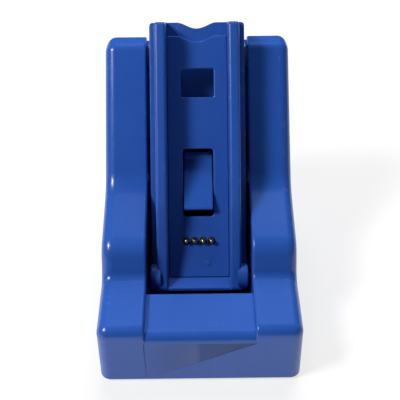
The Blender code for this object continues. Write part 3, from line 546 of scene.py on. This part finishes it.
def makeHousing():
    skin = makeCheek(-1)
    skin.name = "housingSkin"
    addOn(skin, makeSlotFloor())
    front, room = makeCentreFront()
    addOn(skin, front)
    addOn(skin, makeCheek(1))
    cutOut(skin, room)
    for x, y in housing["bosses"]:
        high = (19.2 if y < housing["depth"] / 2 else 18) * mm
        addOn(skin, rod("boss", 3.2 * mm, housing["base"] - mm, high, (0, 0, 1), (x, y, 0)))
    half = housing["halfWidth"] - housing["wall"]
    plan = [(-half, 2.4 * mm), (half, 2.4 * mm), (half, 79.3 * mm), (-half, 79.3 * mm)]
    seat = roundOff([(x, y, 1.5 * mm) for x, y in plan], 6)
    cutOut(skin, upwards("baseSeat", seat, -9 * mm, housing["base"] + housing["gap"]))
    for x, y in housing["bosses"]:
        cutOut(skin, rod("bossHole", 1.4 * mm, -9 * mm, 13.5 * mm, (0, 0, 1), (x, y, 0), 24))
    pivot = housingPlace.inverted() @ channelPivot
    reach = housing["slotHalf"] + housing["wall"] + mm
    cutOut(skin, rod("pivotHole", 1.5 * mm, -reach, reach, (1, 0, 0), pivot, 32))
    y, z = onPlane(housing["springUp"], 0)
    inward = (0, math.sin(lean), -math.cos(lean))
    cup = housing["floorGap"]
    addOn(skin, rod("cup", 5.0 * mm, cup + 0.5 * mm, housing["springSeat"] + 1.4 * mm, inward, (0, y, z)))
    cutOut(skin, rod("cupHole", 3.7 * mm, cup - mm, housing["springSeat"], inward, (0, y, z)))
    inlet = [(x, z, 0.8 * mm) for x, z in
             ((-4.6 * mm, 7.4 * mm), (4.6 * mm, 7.4 * mm), (4.6 * mm, 11.6 * mm), (-4.6 * mm, 11.6 * mm))]
    cutOut(skin, frontToBack("inlet", roundOff(inlet, 5), housing["depth"] - 6 * mm, housing["depth"] + mm))
    # a lip on each cheek closes the view past the channel's top, and stops short of the rounded rear corner
    rear, top = (size - housing["lipStep"] for size in (rearAt(housing["towerTop"][1]), housing["towerTop"][1]))
    for side in (-1, 1):
        near, far = sorted((side * housing["lipHalf"], side * (housing["slotHalf"] + 0.8 * mm)))
        addOn(skin, block("lip", (near, 76.2 * mm, 57.3 * mm), (far, rear, top)))
    # the lower edge is trimmed flat
    openUp(skin)
    bpy.ops.mesh.select_all(action="SELECT")
    bpy.ops.mesh.bisect(plane_co=(0, 0, 0), plane_no=(0, 0, 1), clear_inner=True, use_fill=True)
    bpy.ops.mesh.select_all(action="SELECT")
    bpy.ops.mesh.remove_doubles(threshold=0.01 * mm)
    bpy.ops.mesh.dissolve_limited(angle_limit=math.radians(0.2))
    bpy.ops.object.mode_set(mode="OBJECT")
    return settle(skin, housingPlace, "housing", "shell", "housing_shell")


housingSkin = makeHousing()
print("housing done")

# ---- channel: flange, rails, ears, sill; all in the channel's own directions

channel = {
    "half": 14.55 * mm, "front": 3.9 * mm, "back": 6.1 * mm, "low": -4.6 * mm, "high": 77.2 * mm,
    "railOuter": 12.55 * mm, "railInner": 9.15 * mm, "railFront": -6.6 * mm, "railFootFront": -1.8 * mm,
    "railBend": 20.8 * mm, "railTop": 75.0 * mm, "railRound": 0.95 * mm,
    "sillLow": -4.3 * mm, "sillHigh": -0.65 * mm, "sillFront": -1.6 * mm,
    "ear": 3.6 * mm, "scoopHalf": 5.8 * mm, "scoopDeep": 1.85 * mm,
    "window": (5.0 * mm, 54.0 * mm, 62.7 * mm), "catchSlot": (4.8 * mm, 17.9 * mm, 38.9 * mm),
    "contactUp": 10.4 * mm, "catchAxis": (7.4 * mm, 36.2 * mm),
}


# upper edge of the flange or liner from right to left, scooped for a fingertip
def scoopedTop(half, high, corner):
    edge = arcAround((half - corner, high - corner), corner, 0, 90, 4)
    for step in range(25):
        share = 1 - step / 12
        drop = channel["scoopDeep"] * (0.5 + 0.5 * math.cos(math.pi * share)) ** 0.8
        edge.append((share * channel["scoopHalf"], high - drop))
    return edge + arcAround((corner - half, high - corner), corner, 90, 180, 4)


def makeRail(side):
    front, back = channel["front"], channel["back"] - mm
    corners = [(back, channel["sillLow"], 0), (channel["railFootFront"], channel["sillLow"], 1.5 * mm),
               (channel["railFront"], channel["railBend"], 14 * mm), (channel["railFront"], channel["railTop"], 1.2 * mm),
               (front, channel["high"], 0), (back, channel["high"], 0)]
    low, high = sorted((side * channel["railInner"], side * channel["railOuter"]))
    rail = acrossWidth("rail", roundOff(corners, 8), low, high)
    reach = front - 0.4 * mm
    return roundEdges(rail, channel["railRound"], 5, lambda a, b: max(a.y, b.y) < reach and abs(a.x - b.x) < mm / 100
                      and min(a.z, b.z) > channel["sillLow"] + 0.2 * mm)


def makeEar(side):
    low, high = sorted((side * (channel["railOuter"] - mm), side * channel["half"]))
    ear = rod("ear", channel["ear"], low, high, (1, 0, 0), sides=56)
    return roundEdges(ear, 0.5 * mm, 3, lambda a, b: min(abs(a.x), abs(b.x)) > channel["half"] - mm / 50)


def makeChannel():
    front, back = channel["front"], channel["back"]
    half, low = channel["half"], channel["low"]
    outline = [(-half, low), (half, low)] + scoopedTop(half, channel["high"], mm)
    body = frontToBack("cradleChannel", outline, front, back)
    roundEdges(body, 0.35 * mm, 3, lambda a, b: abs(a.y - b.y) < mm / 100)
    for side in (-1, 1):
        addOn(body, makeRail(side))
        addOn(body, makeEar(side))
    inner = back - mm
    sill = [(inner, channel["sillLow"], 0), (channel["sillFront"] + 0.6 * mm, channel["sillLow"], 0),
            (channel["sillFront"], channel["sillLow"] + 0.8 * mm, 0.4 * mm), (1.9 * mm, channel["sillHigh"], 0),
            (inner, channel["sillHigh"], 0)]
    reach = channel["railInner"] + mm
    addOn(body, acrossWidth("sill", roundOff(sill, 5), -reach, reach))
    lug = [(inner, 33.6 * mm, 0), (9.8 * mm, 33.6 * mm, 1.2 * mm), (9.8 * mm, 38.8 * mm, 1.2 * mm), (inner, 38.8 * mm, 0)]
    for side in (-1, 1):
        near, far = sorted((side * 5.0 * mm, side * 7.4 * mm))
        addOn(body, acrossWidth("lug", roundOff(lug, 5), near, far))
    spread, deep = 0.6 * mm, 9 * mm
    wide, low, high = channel["window"]
    cutOut(body, block("window", (-wide - spread, 0, low - spread), (wide + spread, deep, high + spread)))
    wide, low, high = channel["catchSlot"]
    cutOut(body, block("catchSlot", (-wide, 0, low), (wide, 7 * mm, high + 0.4 * mm)))
    up = channel["contactUp"]
    cutOut(body, block("contactHole", (-6.4 * mm, 0, up - 2.6 * mm), (6.4 * mm, deep, up + 2.6 * mm)))
    cutOut(body, rod("catchPinHole", 1.05 * mm, -9 * mm, 9 * mm, (1, 0, 0), (0, *channel["catchAxis"]), 24))
    for side in (-1, 1):
        near, far = sorted((side * 10.8 * mm, side * 16 * mm))
        cutOut(body, rod("pivotHole", 1.5 * mm, near, far, (1, 0, 0), sides=32))
        cutOut(body, rod("screwHole", 0.9 * mm, 0, deep, (0, 1, 0), (side * 8.2 * mm, 0, 28 * mm), 24))
    return settle(body, channelPlace, "cradle", "channel", "cradle_channel")


makeChannel()
print("channel done")

# ---- liner between the rails, with its window, catch slot and contact holes

liner = {"half": 8.98 * mm, "slotHalf": 4.62 * mm, "slotRound": 0.9 * mm, "slotHigh": 38.4 * mm, "front": 1.9 * mm, "back": 3.6 * mm, "low": -0.35 * mm, "high": 72.7 * mm,
         "rim": 0.4 * mm, "nub": (2.7 * mm, 3.6 * mm, 0.75 * mm), "contacts": 4, "pitch": 2.54 * mm}


def contactsAcross():
    first = -liner["pitch"] * (liner["contacts"] - 1) / 2
    return [first + liner["pitch"] * index for index in range(liner["contacts"])]


def makeLiner():
    outline = [(-liner["half"], liner["low"]), (liner["half"], liner["low"])]
    outline += scoopedTop(liner["half"], liner["high"], 0.3 * mm)
    plate = frontToBack("contactLiner", outline, liner["front"], liner["back"])
    wide, low, high = channel["window"]
    cutOut(plate, frontToBack("window", roundOff([(-wide, low, 0.5 * mm), (wide, low, 0.5 * mm),
                                                  (wide, high, 0.5 * mm), (-wide, high, 0.5 * mm)], 4), 0, 6 * mm))
    low, high = channel["catchSlot"][1], liner["slotHigh"]
    wide, turn = liner["slotHalf"], liner["slotRound"]
    slot = roundOff([(-wide, low, turn), (wide, low, turn), (wide, high, turn), (-wide, high, turn)], 6)
    cutOut(plate, frontToBack("catchSlot", slot, 0, 6 * mm))
    for x in contactsAcross():
        cutOut(plate, rod("contactHole", 1.2 * mm, 0, 6 * mm, (0, 1, 0), (x, 0, channel["contactUp"]), 28))
    front = liner["front"]
    roundEdges(plate, liner["rim"], 3, lambda a, b: abs(a.y - front) < mm / 100 and abs(b.y - front) < mm / 100
               and min(a.z, b.z) > liner["low"] + mm / 10
               and not abs((a.z + b.z) / 2 - channel["contactUp"]) < 1.3 * mm, sharpest=50)
    x, z, radius = liner["nub"]
    nub = rod("nub", radius, front - 0.16 * mm, front + 0.5 * mm, (0, 1, 0), (x, 0, z), 28)
    roundEdges(nub, 0.14 * mm, 3, lambda a, b: max(a.y, b.y) < front - 0.1 * mm)
    addOn(plate, nub)
    return settle(plate, channelPlace, "cradle", "channel", "contact_plate")


makeLiner()
print("liner done")

# ---- catch: a ramp on its own pin

catch = {"half": 4.4 * mm, "knuckle": 1.7 * mm, "nose": (-1.1 * mm, 19.8 * mm), "back": 6.6 * mm, "round": 0.45 * mm}


def makeCatch():
    axisBack, axisUp = channel["catchAxis"]
    back, low = catch["back"] - axisBack, catch["nose"][1] - axisUp
    noseFront = catch["nose"][0] - axisBack
    nose = roundOff([(back, low, 0), (noseFront, low, 0.7 * mm), (-catch["knuckle"], -0.4 * mm, 0)], 5)
    outline = arcAround((0, 0), catch["knuckle"], 200, -20, 16)
    outline += [(catch["knuckle"], -2.2 * mm), (back, -4.4 * mm)] + nose[:-1]
    lever = acrossWidth("catchRamp", outline, -catch["half"], catch["half"])
    side = catch["half"] - mm / 50
    roundEdges(lever, catch["round"], 4, lambda a, b: abs(a.x) > side and abs(b.x) > side and a.x * b.x > 0
               and max(a.y, b.y) < -0.4 * mm)
    cutOut(lever, rod("pinHole", 1.05 * mm, -6 * mm, 6 * mm, (1, 0, 0), sides=24))
    place = channelPlace @ Matrix.Translation((0, axisBack, axisUp))
    return settle(lever, place, "catch", "shell", "catch_lever")


makeCatch()
print("catch done")

# ---- sprung contacts: a domed plunger in a rimmed tube, made once each and copied

contact = {"radius": 0.62 * mm, "tip": -0.2 * mm, "tail": 5.5 * mm, "tube": 0.9 * mm, "bore": 0.72 * mm,
           "tubeFront": 2.4 * mm, "tubeBack": 12.2 * mm, "boreBack": 11.4 * mm}


def makePlunger():
    tip = contact["tip"]
    pin = rod("plunger", contact["radius"], tip, contact["tail"], (0, 1, 0), sides=32)
    return roundEdges(pin, contact["radius"] * 0.92, 7, lambda a, b: max(a.y, b.y) < tip + mm / 50)


def makeTube():
    tube = rod("tube", contact["tube"], contact["tubeFront"], contact["tubeBack"], (0, 1, 0), sides=32)
    cutOut(tube, rod("bore", contact["bore"], 0, contact["boreBack"], (0, 1, 0), sides=32))
    front = contact["tubeFront"] + mm / 50
    return roundEdges(tube, 0.05 * mm, 2, lambda a, b: max(a.y, b.y) < front)


def copyOf(piece, name):
    twin = piece.copy()
    twin.data = piece.data.copy()
    twin.name = name
    bpy.context.scene.collection.objects.link(twin)
    return twin


plunger, tube = makePlunger(), makeTube()
for number, x in enumerate(contactsAcross(), 1):
    place = channelPlace @ Matrix.Translation((x, 0, channel["contactUp"]))
    tag = str(number)
    settle(copyOf(plunger, "contactPlunger" + tag), place, "contact_" + tag, "contacts", "contact_pin_" + tag)
    settle(copyOf(tube, "contactTube" + tag), place, "cradle", "barrels", "contact_barrel_" + tag)
for made in (plunger, tube):
    bpy.data.objects.remove(made, do_unlink=True)
print("contacts done")

# ---- camera, light and floor

view = {"height": 0.1911, "back": -0.1812, "side": 0.45 * mm, "down": 41.0, "lens": 71.9, "roll": -0.65,
        "shiftX": 0.0, "shiftY": 0.0}


def setCamera():
    letGo()
    bpy.ops.object.camera_add(location=(view["side"], view["back"], view["height"]))
    camera = bpy.context.object
    tilt = Matrix.Rotation(math.radians(90 - view["down"]), 4, "X")
    camera.matrix_world = Matrix.Translation(camera.location) @ tilt @ Matrix.Rotation(math.radians(view["roll"]), 4, "Z")
    camera.data.lens = view["lens"]
    camera.data.shift_x = view["shiftX"]
    camera.data.shift_y = view["shiftY"]
    camera.data.clip_start = 0.01
    bpy.context.scene.camera = camera


setCamera()

studio = {"keyWay": (-0.9, -0.36, 1.11), "keyFar": 0.9, "keySize": 0.22, "keyPower": 6.4,
          "rearWay": (0.1, 0.6, 0.8), "rearFar": 1.0, "rearSize": 0.7, "rearPower": 9.6, "world": 0.02, "floorGlow": 0.68}


def addLamp(name, way, far, size, power, colour=(1, 1, 1)):
    place = Vector(way).normalized() * far + Vector((0, 0, 0.03))
    aim = Vector((0, 0, 0.03)) - place
    bpy.ops.object.light_add(type="AREA", location=place, rotation=aim.to_track_quat("-Z", "Y").to_euler())
    lamp = bpy.context.object
    lamp.name = name
    lamp.data.size = size
    lamp.data.energy = power
    lamp.data.color = colour
    return lamp


letGo()
for lamp in ("key", "rear"):
    made = addLamp(lamp + "Light", *(studio[lamp + part] for part in ("Way", "Far", "Size", "Power")))
    # the rear lamp only fills, so the flat decks don't mirror it
    made.visible_glossy = lamp == "key"
world = bpy.data.worlds.new("softRoom")
bpy.context.scene.world = world
world.use_nodes = True
world.node_tree.nodes["Background"].inputs[0].default_value = (1, 1, 1, 1)
world.node_tree.nodes["Background"].inputs[1].default_value = studio["world"]
bpy.context.scene.view_settings.view_transform = "Standard"

letGo()
bpy.ops.mesh.primitive_plane_add(size=6, location=(0, 0, 0))
floor = bpy.context.object
floor.name = "floor"
paper = Finish("palePaper")
paper.feed(colour=paper.mix(paper.noise(60, 4), (0.29, 0.29, 0.29), (0.32, 0.32, 0.32)), roughness=0.7,
           glow=(1, 1, 1, 1), glowStrength=studio["floorGlow"])
floor.data.materials.append(paper.material)
